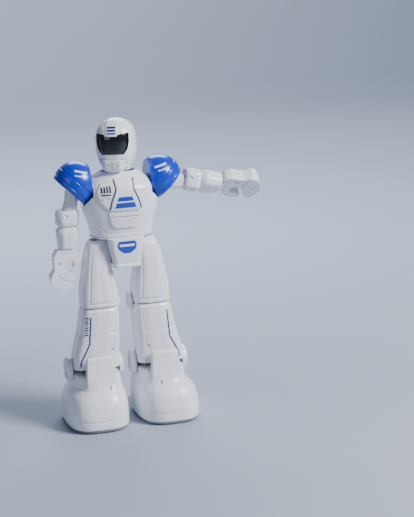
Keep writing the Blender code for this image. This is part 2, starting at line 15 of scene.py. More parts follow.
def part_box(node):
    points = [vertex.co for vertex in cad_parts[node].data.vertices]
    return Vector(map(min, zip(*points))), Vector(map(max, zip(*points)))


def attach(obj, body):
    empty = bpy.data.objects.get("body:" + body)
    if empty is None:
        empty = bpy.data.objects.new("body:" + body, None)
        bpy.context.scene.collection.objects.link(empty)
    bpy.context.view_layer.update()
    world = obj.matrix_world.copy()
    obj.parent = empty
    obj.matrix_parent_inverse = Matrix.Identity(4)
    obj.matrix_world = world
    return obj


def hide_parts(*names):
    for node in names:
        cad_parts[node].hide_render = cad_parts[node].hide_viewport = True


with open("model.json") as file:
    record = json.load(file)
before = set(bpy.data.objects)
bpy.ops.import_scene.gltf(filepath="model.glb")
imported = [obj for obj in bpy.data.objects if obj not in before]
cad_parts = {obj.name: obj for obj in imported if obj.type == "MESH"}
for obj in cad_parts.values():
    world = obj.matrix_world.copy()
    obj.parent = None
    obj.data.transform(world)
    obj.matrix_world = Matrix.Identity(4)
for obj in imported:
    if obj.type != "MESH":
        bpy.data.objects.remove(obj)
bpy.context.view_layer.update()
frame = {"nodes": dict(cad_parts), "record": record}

MM = 0.001
SEAM = 0.15  # half of the gap between two halves of a casing


def middle(node):
    low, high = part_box(node)
    return (low + high) / 2


MIDPLANE = middle("neck_collar").x / MM
HEAD_TURN = math.radians(-25)
LEFT_LIFT = math.radians(-77)
LEFT_TWIST = math.radians(-40)
SHOULDER = Vector((37.0, 1.0, 213.0))
ARM_PIN = Vector((41.0, 1.0, 208.0))
FOREARM_PIVOT = Vector((46.4, 1.0, 176.6))
NECK = Vector((0, 0, 224))
HIP_AXLE = (0, 0, 154)
KNEE_AXLE = (0, 5.0, 104.8)
ANKLE_AXLE = (0, 8, 48)
WHEEL_AXLE = (0, 16, 9.6)
PIN_HOLE = 1.85
DOME_RADIUS = 19.5
DOME_HOLLOW = 17.2
DOME_INNER_SIDE = 26.0
NICHE_RADIUS = 20.4


# ---------------------------------------------------------------- poses

def about(point, angle, axis):
    return Matrix.Translation(point) @ Matrix.Rotation(angle, 4, axis) @ Matrix.Translation(-point)


INTO_FRAME = Matrix.Scale(MM, 4) @ Matrix.Translation((MIDPLANE, 0, 0))
LIFTED = about(ARM_PIN, LEFT_LIFT, "Y")
POSES = {
    "head": about(NECK, HEAD_TURN, "Z"),
    "left_arm": LIFTED,
    "left_lower_arm": LIFTED @ about(FOREARM_PIVOT, LEFT_TWIST, "Z"),
}


def posed(body):
    """Unposed robot millimetres to the frame's metres, for the pieces of one body."""
    return INTO_FRAME @ POSES.get(body, Matrix.Identity(4))


# ---------------------------------------------------------------- finishes

def plastic(name, colour, roughness, coat=0.0, grain=0.04, metallic=0.0, glow=0.0):
    """Moulded finish: fine grain in its bump and uneven roughness, at the object's own scale."""
    material = bpy.data.materials.new(name)
    material.use_nodes = True
    nodes, links = material.node_tree.nodes, material.node_tree.links
    shader = nodes["Principled BSDF"]
    shader.inputs["Base Color"].default_value = (*colour, 1)
    shader.inputs["Metallic"].default_value = metallic
    shader.inputs["Coat Weight"].default_value = coat
    shader.inputs["Coat Roughness"].default_value = 0.08
    shader.inputs["Subsurface Weight"].default_value = glow
    shader.inputs["Subsurface Radius"].default_value = (0.0012, 0.0014, 0.002)
    place = nodes.new("ShaderNodeTexCoord")
    cloud = nodes.new("ShaderNodeTexNoise")
    cloud.inputs["Scale"].default_value = 90
    cloud.inputs["Detail"].default_value = 4
    spread = nodes.new("ShaderNodeMapRange")
    spread.inputs["To Min"].default_value = roughness - 0.06
    spread.inputs["To Max"].default_value = roughness + 0.06
    fine = nodes.new("ShaderNodeTexNoise")
    fine.inputs["Scale"].default_value = 2600
    bump = nodes.new("ShaderNodeBump")
    bump.inputs["Strength"].default_value = grain
    bump.inputs["Distance"].default_value = 0.0001
    links.new(place.outputs["Object"], cloud.inputs["Vector"])
    links.new(place.outputs["Object"], fine.inputs["Vector"])
    links.new(cloud.outputs["Fac"], spread.inputs["Value"])
    links.new(spread.outputs["Result"], shader.inputs["Roughness"])
    links.new(fine.outputs["Fac"], bump.inputs["Height"])
    links.new(bump.outputs["Normal"], shader.inputs["Normal"])
    return material


LOOKS = {
    "white_plastic": plastic("white_plastic", (0.82, 0.83, 0.90), 0.30, coat=0.25, glow=0.05),
    "blue_plastic": plastic("blue_plastic", (0.002, 0.038, 0.50), 0.27, coat=0.35),
    "black_gloss": plastic("black_gloss", (0.006, 0.007, 0.010), 0.12, coat=0.8, grain=0.01),
    "grey_plastic": plastic("grey_plastic", (0.22, 0.23, 0.25), 0.45),
    "wheel_rubber": plastic("wheel_rubber", (0.025, 0.025, 0.028), 0.72, grain=0.3),
    "bright_steel": plastic("bright_steel", (0.62, 0.62, 0.63), 0.26, metallic=1.0),
    "board_green": plastic("board_green", (0.012, 0.11, 0.035), 0.38, coat=0.3),
    "cell_wrap": plastic("cell_wrap", (0.45, 0.02, 0.02), 0.32, coat=0.4),
    "royal_print": plastic("royal_print", (0.010, 0.050, 0.42), 0.34, grain=0.01),
    "navy_print": plastic("navy_print", (0.012, 0.030, 0.16), 0.36, grain=0.01),
    "ink_print": plastic("ink_print", (0.014, 0.016, 0.030), 0.40, grain=0.01),
    "pale_print": plastic("pale_print", (0.62, 0.70, 0.86), 0.40, grain=0.01),
}


# ---------------------------------------------------------------- mesh helpers

def drop_specks(made):
    """Removes the loose slivers of a few faces that a boolean can leave beside a solid."""
    seen, specks = set(), []
    for start in made.faces:
        if start in seen:
            continue
        island, edge_of_it = {start}, [start]
        while edge_of_it:
            for side in edge_of_it.pop().edges:
                fresh = [face for face in side.link_faces if face not in island]
                island.update(fresh)
                edge_of_it += fresh
        seen |= island
        if len(island) < 5:
            specks += island
    bmesh.ops.delete(made, geom=specks, context="FACES")


def finish_piece(name, made, body, slot, nodes=(), side=1, bevel=0.0, sharp=32, look=None):
    """Poses a bmesh that is in robot millimetres and rides it on its body, in the nodes' place."""
    if side < 0:
        bmesh.ops.transform(made, matrix=Matrix.Diagonal((-1, 1, 1, 1)), verts=made.verts)
    bmesh.ops.remove_doubles(made, verts=made.verts, dist=0.0005)
    drop_specks(made)
    bmesh.ops.recalc_face_normals(made, faces=made.faces)
    bmesh.ops.transform(made, matrix=posed(body), verts=made.verts)
    mesh = bpy.data.meshes.new(name)
    made.to_mesh(mesh)
    made.free()
    mesh.shade_smooth()
    mesh.set_sharp_from_angle(angle=math.radians(sharp))
    mesh.materials.append(LOOKS[look or slot])
    piece = bpy.data.objects.new(name, mesh)
    bpy.context.scene.collection.objects.link(piece)
    if bevel:
        edge = piece.modifiers.new("edge", "BEVEL")
        edge.width = bevel * MM
        edge.segments = 3
        edge.limit_method = "ANGLE"
        edge.angle_limit = math.radians(sharp)
        edge.harden_normals = True
    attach(piece, body)
    if nodes:
        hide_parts(*nodes)


def carve(made, tool, operation="DIFFERENCE"):
    """A bmesh after an exact boolean with another; both are used up."""
    items = []
    for source in (made, tool):
        bmesh.ops.recalc_face_normals(source, faces=source.faces)
        mesh = bpy.data.meshes.new("carve")
        source.to_mesh(mesh)
        source.free()
        items.append(bpy.data.objects.new("carve", mesh))
        bpy.context.scene.collection.objects.link(items[-1])
    change = items[0].modifiers.new("carve", "BOOLEAN")
    change.object = items[1]
    change.operation = operation
    change.solver = "EXACT"
    shaped = bpy.data.meshes.new_from_object(items[0].evaluated_get(bpy.context.evaluated_depsgraph_get()))
    result = bmesh.new()
    result.from_mesh(shaped)
    bpy.data.meshes.remove(shaped)
    for item in items:
        bpy.data.meshes.remove(item.data)
    return result


def grid_solid(outer, inner):
    """Closed skin between two equal grids of points, indexed [row][column]."""
    made = bmesh.new()
    skins = [[[made.verts.new(p) for p in row] for row in grid] for grid in (outer, inner)]
    rows, columns = len(outer), len(outer[0])
    for skin in skins:
        for j in range(rows - 1):
            for i in range(columns - 1):
                made.faces.new((skin[j][i], skin[j][i + 1], skin[j + 1][i + 1], skin[j + 1][i]))
    a, b = skins
    for j in range(rows - 1):
        for i in (0, columns - 1):
            made.faces.new((a[j][i], a[j + 1][i], b[j + 1][i], b[j][i]))
    for i in range(columns - 1):
        for j in (0, rows - 1):
            made.faces.new((a[j][i], a[j][i + 1], b[j][i + 1], b[j][i]))
    return made


def ring_solid(rings):
    """Closed solid through rings of equal count."""
    made = bmesh.new()
    layers = [[made.verts.new(p) for p in ring] for ring in rings]
    count = len(rings[0])
    for low, high in zip(layers, layers[1:]):
        for i in range(count):
            j = (i + 1) % count
            made.faces.new((low[i], low[j], high[j], high[i]))
    made.faces.new(list(reversed(layers[0])))
    made.faces.new(layers[-1])
    return made


def box_solid(low, high):
    (x0, y0, z0), (x1, y1, z1) = low, high
    return ring_solid([[(x0, y0, z), (x1, y0, z), (x1, y1, z), (x0, y1, z)] for z in (z0, z1)])


def rectangle(x0, z0, x1, z1):
    return (x0, z0), (x1, z0), (x1, z1), (x0, z1)


def turned(steps, centre, axis, count=64):
    """Solid of revolution from (place along the axis, radius) steps, about a centre point."""
    place = {"X": lambda a, u, v: (a, centre[1] + u, centre[2] + v),
             "Y": lambda a, u, v: (centre[0] + u, a, centre[2] + v),
             "Z": lambda a, u, v: (centre[0] + u, centre[1] + v, a)}[axis]
    rings = []
    for along, radius in steps:
        angles = [2 * math.pi * i / count for i in range(count)]
        rings.append([place(along, radius * math.cos(t), radius * math.sin(t)) for t in angles])
    return ring_solid(rings)


def smooth_levels(levels, z):
    """Values of (z, ...) levels at a height, on a curve through them that doesn't overshoot."""
    heights = [level[0] for level in levels]
    z = min(max(z, heights[0]), heights[-1])
    k = max(0, min(len(levels) - 2, int(np.searchsorted(heights, z)) - 1))
    span = heights[k + 1] - heights[k]
    t = (z - heights[k]) / span
    values = []
    for c in range(1, len(levels[0])):
        column = [level[c] for level in levels]
        slopes = []
        for m in (k, k + 1):
            if 0 < m < len(levels) - 1:
                before = (column[m] - column[m - 1]) / (heights[m] - heights[m - 1])
                after = (column[m + 1] - column[m]) / (heights[m + 1] - heights[m])
                slopes.append(2 * before * after / (before + after) if before * after > 0 else 0.0)
            else:
                slopes.append((column[k + 1] - column[k]) / span)
        h00, h10 = 2 * t ** 3 - 3 * t ** 2 + 1, t ** 3 - 2 * t ** 2 + t
        h01, h11 = -2 * t ** 3 + 3 * t ** 2, t ** 3 - t ** 2
        values.append(h00 * column[k] + h10 * span * slopes[0] + h01 * column[k + 1] + h11 * span * slopes[1])
    return values


def oval_path(power, steps):
    """Half superellipse from +1 round to -1, evenly spread, as (across, depth) shares."""
    path = []
    for i in range(steps + 1):
        t = math.pi * i / steps
        c, s = math.cos(t), math.sin(t)
        reach = (abs(c) ** power + abs(s) ** power) ** (-1 / power)
        path.append((c * reach, max(0.0, s * reach)))
    return path


def rounded_path(corners, radius, steps):
    """An open path through corner points, its inner corners rounded, as (across, depth) shares."""
    path = [corners[0]]
    for before, corner, after in zip(corners, corners[1:], corners[2:]):
        c = Vector(corner)
        back, on = Vector(before) - c, Vector(after) - c
        reach = min(radius, back.length * 0.49, on.length * 0.49)
        start, end = c + back.normalized() * reach, c + on.normalized() * reach
        for i in range(steps + 1):
            t = i / steps
            path.append(tuple(start * (1 - t) ** 2 + c * 2 * t * (1 - t) + end * t ** 2))
    path.append(corners[-1])
    return path


def densified(path, gap):
    """A path with points added on its long stretches."""
    dense = [path[0]]
    for a, b in zip(path, path[1:]):
        pieces = max(1, math.ceil((Vector(b) - Vector(a)).length / gap))
        dense += [tuple(Vector(a).lerp(Vector(b), k / pieces)) for k in range(1, pieces + 1)]
    return dense


def heights_between(low, high, gap, extra=()):
    """Evenly spread heights, with extra ones where an edge needs them."""
    count = max(2, round((high - low) / gap) + 1)
    return sorted(set(np.round(np.linspace(low, high, count), 4)) | set(extra))


def half_casing(levels, path, sign, heights, relief=None, wall=1.7):
    """Half of a casing, its outer skin with relief(x, z, sign) along the normal and its inner skin plain."""
    base = []
    for z in heights:
        cx, hw, depth = smooth_levels(levels, z)[:3]
        base.append([(cx + u * hw, sign * (SEAM + v * depth), z) for u, v in path])
    base = np.array(base)
    along = np.gradient(base, axis=1)
    up = np.gradient(base, axis=0)
    normal = np.cross(along, up)
    normal /= np.linalg.norm(normal, axis=2, keepdims=True) + 1e-12
    centre = np.array([np.mean(base[:, :, 0]), 0, 0])
    facing = np.sum(normal * (base - centre) * np.array([1, 1, 0]), axis=2).mean()
    normal *= np.sign(facing)
    normal[:, 0, 1] = normal[:, -1, 1] = 0
    outer = base
    if relief is not None:
        lift = relief(base[:, :, 0], base[:, :, 2], sign)
        outer = base + normal * lift[:, :, None]
    inner = base - normal * wall
    inner[:, 0, 1] = inner[:, -1, 1] = sign * SEAM
    return grid_solid(outer.tolist(), inner.tolist())


# ---------------------------------------------------------------- relief, panels and printed marks

def soft_step(value, width):
    t = np.clip(value / width + 0.5, 0, 1)
    return t * t * (3 - 2 * t)


def line_distance(x, z, points):
    """Distance to an open line of points."""
    best = np.full(np.shape(x), 1e9)
    for (ax, az), (bx, bz) in zip(points, points[1:]):
        length = (bx - ax) ** 2 + (bz - az) ** 2
        t = np.clip(((x - ax) * (bx - ax) + (z - az) * (bz - az)) / length, 0, 1)
        best = np.minimum(best, np.hypot(x - ax - t * (bx - ax), z - az - t * (bz - az)))
    return best


def groove(x, z, points, width=0.5, depth=0.45):
    """A round-bottomed groove along a line, as a negative height."""
    return -depth * np.exp(-(line_distance(x, z, points) / width) ** 2)


def span_at(outline, height):
    """Least and greatest x of an outline at one height."""
    crossings = []
    for (ax, az), (bx, bz) in zip(outline, list(outline[1:]) + [outline[0]]):
        if az != bz and min(az, bz) <= height <= max(az, bz):
            crossings.append(ax + (bx - ax) * (height - az) / (bz - az))
    spare = max(0.0, 0.02 - max(crossings) + min(crossings)) / 2
    return min(crossings) - spare, max(crossings) + spare


def spread_out(low, high, count, soft):
    """Places from low to high, with closer ones within a rounded edge at both ends."""
    edge = min(soft, (high - low) * 0.4)
    near = [edge * share for share in (0, 0.08, 0.35, 1, 1.2)] if soft else [0]
    between = np.linspace(low + near[-1], high - near[-1], count)
    return [low + a for a in near[:-1]] + list(between) + [high - a for a in reversed(near[:-1])]


def plate_mesh(outline, surface, low, high, gap=1.2, sign=-1, soft=0.0, upright=False):
    """A solid over surface(x, z) = y, from low to high above it, its outer edge rounded by soft.

    It is laid in rows, each with one stretch inside the outline: level rows, or upright ones.
    """
    if upright:
        outline = [(z, x) for x, z in outline]
    corners = [z for _, z in outline]
    rise = max(corners) - min(corners)
    rows = sorted(set(spread_out(min(corners), max(corners), max(3, round(rise / gap)), soft)) | set(corners))
    kept = [rows[0]] + [b for a, b in zip(rows, rows[1:]) if b - a > 0.03]
    kept[-1] = rows[-1]
    spans = [span_at(outline, z) for z in kept]
    count = max(2, round(max(b - a for a, b in spans) / gap))
    x = np.array([spread_out(a, b, count, soft) for a, b in spans])
    z = np.array([[height] * x.shape[1] for height in kept])
    drop = np.zeros(x.shape)
    if soft:
        inside = np.clip(1 - line_distance(x, z, list(outline) + [outline[0]]) / soft, 0, 1)
        drop = soft * (1 - np.sqrt(1 - inside ** 2))
    if upright:
        x, z = z, x
    y = np.array([[surface(a, b) for a, b in zip(*row)] for row in zip(x, z)])
    inner, outer = y + sign * low, y + sign * (high - drop)
    return grid_solid(np.stack([x, outer, z], 2).tolist(), np.stack([x, inner, z], 2).tolist())


def plate(name, outline, surface, body, slot, low, high, nodes=(), look=None, **more):
    """A finished piece made by plate_mesh."""
    made = plate_mesh(outline, surface, low, high, **more)
    finish_piece(name, made, body, slot, nodes, sharp=50, look=look)


def printed(name, outlines, surface, body, look, side=1, slot="blue_plastic", upright=False):
    """A thin layer of print on a surface."""
    made = bmesh.new()
    for outline in outlines:
        mesh = bpy.data.meshes.new(name)
        layer = plate_mesh(outline, surface, -0.05, 0.07, 0.7, upright=upright)
        layer.to_mesh(mesh)
        layer.free()
        made.from_mesh(mesh)
        bpy.data.meshes.remove(mesh)
    finish_piece(name, made, body, slot, side=side, look=look)


def bar(x0, x1, z0, z1, slant=0.0):
    """Outline of a plain bar."""
    return (x0, z0), (x1, z0), (x1 + slant, z1), (x0 + slant, z1)


def stripe(points, width):
    """Outline of a line of constant width through points."""
    left, right = [], []
    for k, point in enumerate(points):
        here = Vector(point)
        before = (here - Vector(points[k - 1])).normalized() if k else None
        after = (Vector(points[k + 1]) - here).normalized() if k < len(points) - 1 else None
        way = (before + after).normalized() if before and after else (before or after)
        normal = Vector((-way.y, way.x))
        stretch = 1 / max(0.5, normal.dot(Vector((-(after or before).y, (after or before).x))))
        left.append(tuple(here + normal * width / 2 * stretch))
        right.append(tuple(here - normal * width / 2 * stretch))
    return left + list(reversed(right))


# ---------------------------------------------------------------- torso

TORSO = (
    (167, 0, 26.6, 18.5), (178, 0, 28.6, 20.5), (188, 0, 32.0, 22.6), (197, 0, 33.5, 23.6),
    (207, 0, 32.0, 23.0), (214, 0, 27.5, 19.5), (219, 0, 21.0, 15.0), (222, 0, 15.5, 11.5),
)
OVAL_POWER = 2.5
OVAL = oval_path(OVAL_POWER, 96)
BIB = ((-13.5, 190.2), (13.5, 190.2), (21.5, 198.5), (23.6, 207), (19.6, 214), (12.5, 218), (-12.5, 218),
       (-19.6, 214), (-23.6, 207), (-21.5, 198.5))
HOURGLASS = ((12.6, 191.5), (10.6, 199), (6.6, 208.5), (7.4, 217.2))  # edge of the raised middle of the bib


def casing_surface(levels, sign=-1, raised=0.0):
    """surface(x, z) = y of the front or back of an oval casing, a little outside it if raised."""
    def surface(x, z):
        cx, hw, depth = smooth_levels(levels, z)[:3]
        share = min(abs(x - cx) / (hw + raised), 0.999)
        return sign * (SEAM + (depth + raised) * (1 - share ** OVAL_POWER) ** (1 / OVAL_POWER))
    return surface


def chest_relief(x, z, sign):
    """Panel lines of the chest and back."""
    x = np.abs(x)
    waist = ((40, 176.5), (0, 176.5)) if sign > 0 else ((40, 175), (20, 175), (16, 170), (0, 170))
    lift = groove(x, z, waist)
    lift = lift + groove(x, z, ((17.5, 190), (25.5, 198.2), (27.6, 206.5), (24, 212.4)))
    if sign > 0:
        lift = lift + groove(x, z, ((17.6, 171), (17.6, 208.4), (0, 208.4)), 0.6, 0.5)
        for height in (180, 183, 186, 189, 192):
            lift = lift + groove(x, z, ((21.4, height), (26, height)), 0.5, 0.7)
    return lift


def shoulder_niche(made):
    """Cuts the sockets that the shoulder domes turn in."""
    for side in (1, -1):
        niche = turned([(side * 25.5, NICHE_RADIUS), (side * 60, NICHE_RADIUS)], SHOULDER, "X", 96)
        made = carve(made, niche)
    return made


def slab(outline, low, high):
    """Prism between two Y places from an outline in X and Z."""
    return ring_solid([[(x, y, z) for x, z in outline] for y in (low, high)])


def make_torso():
    rows = heights_between(167, 222, 0.55)
    chest = shoulder_niche(half_casing(TORSO, OVAL, -1, rows, chest_relief, 2.0))
    finish_piece("chest", chest, "torso", "white_plastic", ("chest_shell",))
    back = shoulder_niche(half_casing(TORSO, OVAL, 1, rows, chest_relief, 2.0))
    back = carve(back, slab(rectangle(-15.85, 173.7, 15.85, 206.35), 5, 40))
    back = carve(back, slab(rectangle(-4.6, 209.2, 4.6, 212.8), 12, 30))
    finish_piece("back", back, "torso", "white_plastic", ("back_shell",))

    under_bib = casing_surface(TORSO, raised=0.35)
    bib = plate_mesh(BIB, under_bib, 0, 1.15, soft=0.35)
    crease = ((12.4, 216.5), (14.0, 212.4), (18.6, 207.6), (17.2, 202.4), (21.4, 198.6))
    for side in (1, -1):
        line = stripe([(side * x, z) for x, z in crease], 0.5)
        bib = carve(bib, plate_mesh(line, under_bib, 0.75, 2, 0.8))
    finish_piece("bib", bib, "torso", "white_plastic", ("chest_plate",), sharp=50)
    middle_outline = list(HOURGLASS) + [(-x, z) for x, z in reversed(HOURGLASS)]
    plate("bib_middle", middle_outline, casing_surface(TORSO, raised=1.4), "torso", "white_plastic", 0, 0.45,
          soft=0.25)
    belly = ((-9.2, 174.8), (9.2, 174.8), (12.2, 178), (13.9, 184.4), (-13.9, 184.4), (-12.2, 178))
    plate("belly", belly, casing_surface(TORSO, raised=0.35), "torso", "white_plastic", 0, 1.3,
          soft=0.45, nodes=("belly_plate",))
    band = ((-14.2, 185.2), (14.2, 185.2), (14.4, 188.8), (-14.4, 188.8))
    plate("belly_band", band, casing_surface(TORSO, raised=0.35), "torso", "white_plastic", 0, 1.0, soft=0.3)

    collar = [(222.35, 6.5), (222.35, 11.0), (222.6, 11.4), (223.2, 11.9), (223.6, 11.9), (224.0, 11.4),
              (224.7, 10.7), (224.8, 10.3), (224.8, 6.9), (224.6, 6.5)]
    collar = carve(turned(collar, (0, 0, 0), "Z"), turned([(220, 6.35), (227, 6.35)], (0, 0, 0), "Z"))
    finish_piece("collar", collar, "torso", "white_plastic", ("neck_collar",))


def torso_marks():
    """Printed lines, stripes and plain bars on the chest."""
    on_middle = casing_surface(TORSO, raised=1.85)
    on_bib = casing_surface(TORSO, raised=1.5)
    for side in (1, -1):
        edge = [(x + 1.15, z) for x, z in HOURGLASS]
        printed(f"bib_line_{side}", [stripe(edge, 1.3)], on_bib, "torso", "navy_print", side)
    stripes = [((-9.4, 192.6), (9.4, 192.6), (7.9, 197.2), (-7.9, 197.2)),
               ((-7.3, 198.4), (7.3, 198.4), (5.8, 202.2), (-5.8, 202.2))]
    printed("bib_stripes", stripes, on_middle, "torso", "royal_print")
    code = [bar(11.9 + 2.3 * k, 13.3 + 2.3 * k, 206.2, 212.0 - 0.4 * k) for k in range(4)]
    code.append(bar(12.0, 20.2, 203.9, 205.0))
    code += [bar(13.0, 14.6, 201.2, 201.8, 0.5), bar(18.6, 20.2, 200.4, 201.0, 0.5)]
    printed("chest_code", code, on_bib, "torso", "ink_print", -1, "black_gloss")


def pelvis_badge():
    """Plain shield with a white border and a white bar."""
    def face(_, z):
        return float(np.interp(z, [row[0] for row in PELVIS], [row[3] for row in PELVIS]))
    shield = ((3.4, 151.6), (8.0, 154.6), (9.6, 160.2), (8.2, 164.2))
    for name, inset, look in (("border", 0.0, "white_plastic"), ("field", 0.9, "royal_print")):
        outline = [(x - inset, z + inset * (1 if z < 158 else -1)) for x, z in shield]
        height = 0.25 if inset else 0.18
        rounded = softened(both_sides(outline), 0.8)
        plate("badge_" + name, rounded, face, "torso", "blue_plastic", -0.05, height, look=look)
    across = softened(both_sides(((6.4, 158.6), (6.6, 160.6))), 0.3)
    plate("badge_bar", across, face, "torso", "white_plastic", 0.1, 0.33)


# ---------------------------------------------------------------- pelvis, door and switch

def softened(outline, radius, steps=4):
    """A closed outline with its corners rounded."""
    soft = []
    for k, corner in enumerate(outline):
        c = Vector(corner)
        back, on = Vector(outline[k - 1]) - c, Vector(outline[(k + 1) % len(outline)]) - c
        reach = min(radius, back.length * 0.48, on.length * 0.48)
        start, end = c + back.normalized() * reach, c + on.normalized() * reach
        for i in range(steps + 1):
            t = i / steps
            soft.append(tuple(start * (1 - t) ** 2 + c * 2 * t * (1 - t) + end * t ** 2))
    return soft


def nosed(reach, rear, fore, cut, z, radius=1.6):
    """Rounded ring at one height whose two front corners are cut off."""
    corners = [(-reach, rear), (reach, rear), (reach, fore + cut), (reach - cut, fore),
               (cut - reach, fore), (-reach, fore + cut)]
    return [(x, y, z) for x, y in softened(corners, radius)]


def belt_ring(hw, depth, z):
    front = [(u * hw, -v * depth, z) for u, v in OVAL]
    return front + [(x, -y, z) for x, y, _ in reversed(front[1:-1])]


PELVIS = (
    (140.0, 11.6, 15.2, -20.6), (140.5, 12.2, 15.6, -21.2), (142.2, 12.3, 15.6, -21.2),
    (143.1, 12.0, 15.6, -20.0), (147.0, 12.9, 15.6, -20.6), (152.0, 13.8, 15.6, -21.4),
    (158.6, 14.9, 15.3, -21.8), (165.4, 16.0, 14.6, -22.2), (165.9, 15.4, 14.2, -21.6),
)


def make_pelvis():
    belt = ring_solid([belt_ring(hw, depth, z) for hw, depth, z in (
        (23.2, 16.2, 164.4), (24.4, 17.4, 164.5), (26.9, 18.5, 165.9), (27.5, 18.9, 166.3),
        (27.2, 18.7, 166.6))])
    box = ring_solid([nosed(reach, -rear, fore, 3, z) for z, reach, rear, fore in PELVIS])
    footprint = softened(rectangle(-10.6, -16, 10.6, 15), 1.5)
    core = ring_solid([[(x, y, z) for x, y in footprint] for z in (141, 165.5)])
    whole = carve(carve(belt, core, "UNION"), box, "UNION")
    whole = carve(whole, turned([(-14, PIN_HOLE), (14, PIN_HOLE)], HIP_AXLE, "X", 32))
    finish_piece("pelvis", whole, "torso", "white_plastic", ("pelvis_shell",), sharp=38)


def make_door():
    face = casing_surface(TORSO, sign=1)
    outline = softened(rectangle(-15.5, 174, 15.5, 206), 1.4)
    plate("battery_cover", outline, face, "door", "white_plastic", -2.2, 0.2, sign=1, soft=0.3,
          nodes=("battery_door",))
    for k in range(3):
        z = 178.4 + 2.2 * k
        ridge = softened(rectangle(-7, z, 7, z + 1.1), 0.5)
        plate(f"door_grip_{k}", ridge, face, "door", "white_plastic", 0.1, 0.75, sign=1, soft=0.3)
    depth = face(0, 202)
    head = turned([(depth - 5, 1.3), (depth - 0.6, 1.3), (depth - 0.6, 1.5), (depth + 0.1, 1.5),
                   (depth + 0.3, 1.2)], (0, 0, 202), "Y", 40)
    for across, up in ((0.95, 0.22), (0.22, 0.95)):
        head = carve(head, slab(rectangle(-across, 202 - up, across, 202 + up), depth - 0.5, depth + 2))
    finish_piece("door_screw_head", head, "door", "bright_steel", ("door_screw",))


def make_switch():
    """Slider with a ribbed thumb face."""
    profile = [(-4.0, 14.6), (-4.0, 22.9), (-3.7, 23.3)]
    for k in range(3):
        x = -3.2 + 1.1 * k
        profile += [(x, 23.35), (x + 0.25, 22.9), (x + 0.55, 22.9), (x + 0.8, 23.35)]
    profile += [(-0.3, 23.3), (0.0, 22.9), (0.0, 14.6)]
    nub = ring_solid([[(x, y, z) for x, y in profile] for z in (209.6, 212.4)])
    finish_piece("switch_slider", nub, "switch", "grey_plastic", ("power_switch",), bevel=0.12)


# ---------------------------------------------------------------- head

HEAD = (
    (225.2, 0, 12.5, 13.5), (231, 0, 15.2, 16.8), (240, 0, 17.0, 19.0), (250, 0, 17.0, 19.3),
    (258, 0, 15.2, 17.3), (263.5, 0, 11.0, 12.6), (266.8, 0, 4.0, 4.6), (267.1, 0, 0.05, 0.05),
)
VISOR = ((9.3, 237.7), (12.4, 242.4), (13.6, 248.0), (13.4, 254.0), (12.4, 255.4), (5.4, 254.4), (4.2, 252.8))


def both_sides(half):
    """A closed outline from its +X half, bottom first."""
    return [(-x, z) for x, z in reversed(half)] + list(half)


def helmet_relief(x, z, sign):
    """Cheek edges, brow step and the seams of the helmet."""
    x = np.abs(x)
    lift = groove(x, z, ((40, 229.2), (11.6, 229.2), (11.6, 234), (9.6, 235)), 0.4, 0.35) if sign < 0 else \
        groove(x, z, ((40, 231), (0, 231)), 0.5, 0.4)
    if sign < 0:
        crown = line_distance(x, z, ((5.6, 268), (5.6, 256.4), (4.4, 253.6)))
        lift = lift + np.where(x < 5.6, 0.4 * soft_step(crown - 0.35, 0.7), 0.0)
    else:
        lift = lift + groove(x, z, ((0, 238), (0, 266)), 0.5, 0.3)
        lift = lift + groove(x, z, ((5.5, 236), (5.5, 241)), 0.45, 0.6)
    return lift


def make_head():
    rows = heights_between(225.2, 266.8, 0.45, (266.92, 267.02, 267.1))
    face = half_casing(HEAD, OVAL, -1, rows, helmet_relief, 2.0)
    opening = both_sides([(x * 1.02 + 0.35, z + (0.35 if z > 245 else -0.35)) for x, z in VISOR])
    face = carve(face, slab(softened(opening, 0.8), -40, -2))
    face = carve(face, slab(rectangle(-11.15, 220, 11.15, 233.35), -40, -12))
    finish_piece("helmet_front", face, "head", "white_plastic", ("face_shell",))
    rear = half_casing(HEAD, OVAL, 1, rows, helmet_relief, 2.0)
    finish_piece("helmet_rear", rear, "head", "white_plastic", ("rear_head_shell",))
    glass = softened(both_sides(VISOR), 0.7)
    plate("visor_glass", glass, casing_surface(HEAD, raised=-1.5), "head", "black_gloss", -1.4, 0, soft=0.3,
          gap=0.9, upright=True, nodes=("visor",))

    chin = ring_solid([nosed(reach, -12.5, fore, 4, z, 1.4) for z, reach, fore in (
        (222.6, 7.0, -17.6), (223.0, 7.8, -18.5), (225.0, 9.6, -19.7), (226.0, 9.9, -20.0),
        (232.3, 10.7, -20.35), (233.0, 10.2, -19.9))])
    chin = carve(chin, slab(softened(rectangle(-0.9, 221, 0.9, 231.2), 0.8), -24, -19.0))
    for side in (1, -1):
        vent = [(side * x, z) for x, z in ((3.2, 226.4), (5.4, 226.4), (5.8, 229.8), (3.2, 229.8))]
        chin = carve(chin, slab(softened(vent, 0.5), -24, -19.6))
    finish_piece("chin_guard", chin, "head", "white_plastic", ("jaw",), sharp=38)


def head_marks():
    """Three printed bars on the forehead."""
    for low, high, raised, look in ((254.9, 256.3, 0.42, "royal_print"), (257.3, 258.9, 0.45, "navy_print"),
                                    (259.8, 261.4, 0.56, "navy_print")):
        face = casing_surface(HEAD, raised=raised)
        printed(f"forehead_bar_{low:.0f}", [bar(-3.7, 3.7, low, high)], face, "head", look)


def dome_bars():
    """Plain slanted bars on the front of both shoulder domes."""
    def dome(x, z):
        return SHOULDER.y - math.sqrt(DOME_RADIUS ** 2 - (x - SHOULDER.x) ** 2 - (z - SHOULDER.z) ** 2)
    for label, side in (("left", 1), ("right", -1)):
        bars = [stripe(((29.6, 223.4), (40.2, 226.2)), 1.6), stripe(((32.2, 220.4), (40.6, 222.4)), 1.0)]
        printed(label + "_dome_bars", bars, dome, label + "_shoulder", "pale_print", side, "white_plastic",
                upright=True)


# ---------------------------------------------------------------- arms

